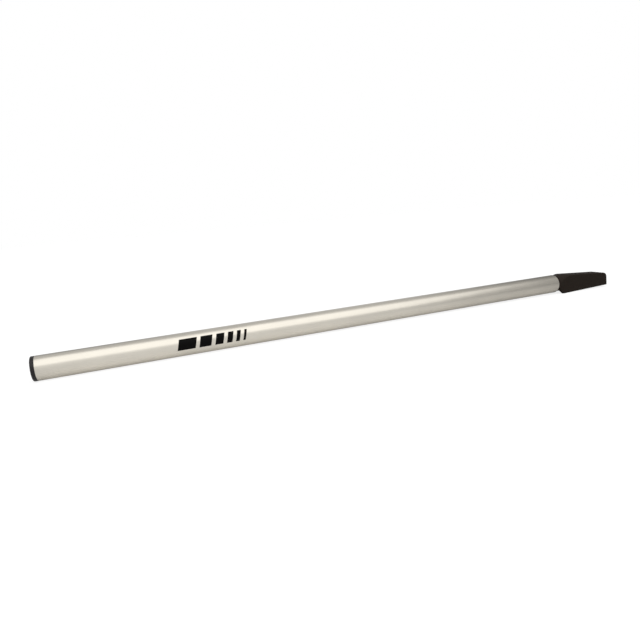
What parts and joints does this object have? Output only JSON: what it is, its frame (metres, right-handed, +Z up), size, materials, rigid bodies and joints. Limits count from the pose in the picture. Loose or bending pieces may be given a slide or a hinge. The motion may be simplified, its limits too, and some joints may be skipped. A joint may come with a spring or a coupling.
{
  "type": "boat tiller",
  "caption": "Dinghy tiller: anodised aluminium tube with a black push-in end plug and a moulded wedge block for the rudder head.",
  "frame": {"origin": "middle of the base of the tiller's box, as it lies on a floor", "axes": "+X from the plugged hand end to the rudder end, +Z up"},
  "size_m": [0.9652, 0.032, 0.0339],
  "materials": {
    "satin_anodised": "satin anodised",
    "plug_black": "moulded, fine matt",
    "block_black": "moulded, satin"
  },
  "bodies": {
    "root": {"tiller_tube": "satin_anodised", "end_plug": "plug_black", "rudder_head_block": "block_black"}
  },
  "joints": []
}
